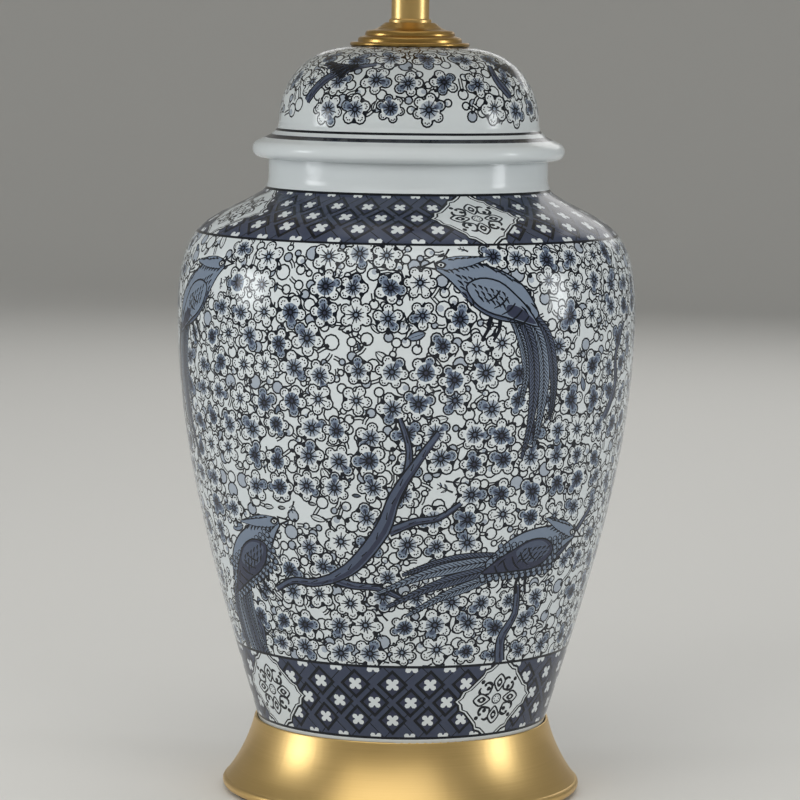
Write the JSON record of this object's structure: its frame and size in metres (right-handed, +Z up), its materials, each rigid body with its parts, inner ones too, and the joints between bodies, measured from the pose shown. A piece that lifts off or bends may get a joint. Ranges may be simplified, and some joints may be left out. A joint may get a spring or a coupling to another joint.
{
  "type": "ginger jar table lamp",
  "caption": "Table lamp with a lidded ginger jar body in painted porcelain on a flared brass base, with a harp, a rotary lampholder and a tapered drum shade.",
  "frame": {"origin": "on the table, under the middle of the felt pad", "axes": "+Z up along the rod; +X along the harp, to the right in the front view; +Y towards the back, where the cord leaves"},
  "size_m": [0.4071, 0.4072, 0.719],
  "materials": {
    "felt": "dark needle felt, glued down",
    "board": "grey-brown pressed board",
    "satin_brass": "spun brass with a brushed satin finish under clear lacquer",
    "antique_brass": "darker bronzed brass, satin",
    "rubber": "moulded black rubber",
    "cast_iron": "as cast, painted black",
    "zinc_steel": "zinc-plated steel",
    "nylon": "natural nylon",
    "porcelain": "white porcelain painted in blue under a clear gloss glaze",
    "seal": "soft clear-white silicone",
    "holder_liner": "vulcanised fibre",
    "holder_core": "black moulded phenolic",
    "screw_brass": "drawn brass, bright",
    "knob": "black moulded knob",
    "bulb_metal": "rolled aluminium",
    "bulb_insulator": "black glass",
    "bulb_glass": "white frosted glass",
    "shade_linen": "off-white linen on a stiff lining",
    "shade_tape": "folded linen tape",
    "shade_wire": "white-painted steel wire"
  },
  "bodies": {
    "lamp": {"felt_pad": "felt", "base_board": "board", "base_skirt": "satin_brass", "cord_grommet": "rubber", "loading_weight": "cast_iron", "seat_plate": "zinc_steel", "seat_ring": "rubber", "threaded_rod": "zinc_steel", "lower_nut": "zinc_steel", "lower_washer": "zinc_steel", "foot_bush": "nylon", "porcelain_jar": "porcelain", "lid_seal": "seal", "porcelain_lid": "porcelain", "lid_bush": "nylon", "vase_cap": "antique_brass", "collar_ring": "satin_brass", "neck_tube": "satin_brass", "neck_ring": "satin_brass", "harp_saddle": "satin_brass", "top_nut": "zinc_steel", "harp": "satin_brass", "harp_seat": "satin_brass", "holder_cap": "satin_brass", "holder_shell": "satin_brass", "holder_liner": "holder_liner", "holder_core": "holder_core", "screw_shell": "screw_brass", "centre_contact": "screw_brass", "terminal_screws": "screw_brass", "switch_bushing": "screw_brass", "bulb_contact": "bulb_metal", "bulb_insulator": "bulb_insulator", "bulb_cap": "bulb_metal", "bulb_glass": "bulb_glass"},
    "switch": {"switch_shaft": "zinc_steel", "switch_cam": "holder_core", "switch_knob": "knob"},
    "left_sleeve": {"left_harp_sleeve": "satin_brass"},
    "right_sleeve": {"right_harp_sleeve": "satin_brass"},
    "shade": {"shade_cover": "shade_linen", "shade_top_ring": "shade_wire", "shade_bottom_ring": "shade_wire", "shade_top_trim": "shade_tape", "shade_bottom_trim": "shade_tape", "spider_hub": "shade_wire", "spider_arms": "shade_wire"},
    "finial": {"finial": "satin_brass"}
  },
  "joints": [
    {"name": "switch_turn", "type": "hinge", "parent": "lamp", "child": "switch", "pos_m": [0, -0.028, 0.5128], "axis": [0, -1, 0], "continuous": true},
    {"name": "left_sleeve_lift", "type": "slide", "parent": "lamp", "child": "left_sleeve", "axis": [0, 0, 1], "range_m": [0, 0.014]},
    {"name": "right_sleeve_lift", "type": "slide", "parent": "lamp", "child": "right_sleeve", "axis": [0, 0, 1], "range_m": [0, 0.014]},
    {"name": "shade_turn", "type": "hinge", "parent": "lamp", "child": "shade", "pos_m": [0, 0, 0.69], "axis": [0, 0, 1], "continuous": true},
    {"name": "finial_turn", "type": "hinge", "parent": "lamp", "child": "finial", "pos_m": [0, 0, 0.7], "axis": [0, 0, 1], "continuous": true}
  ]
}
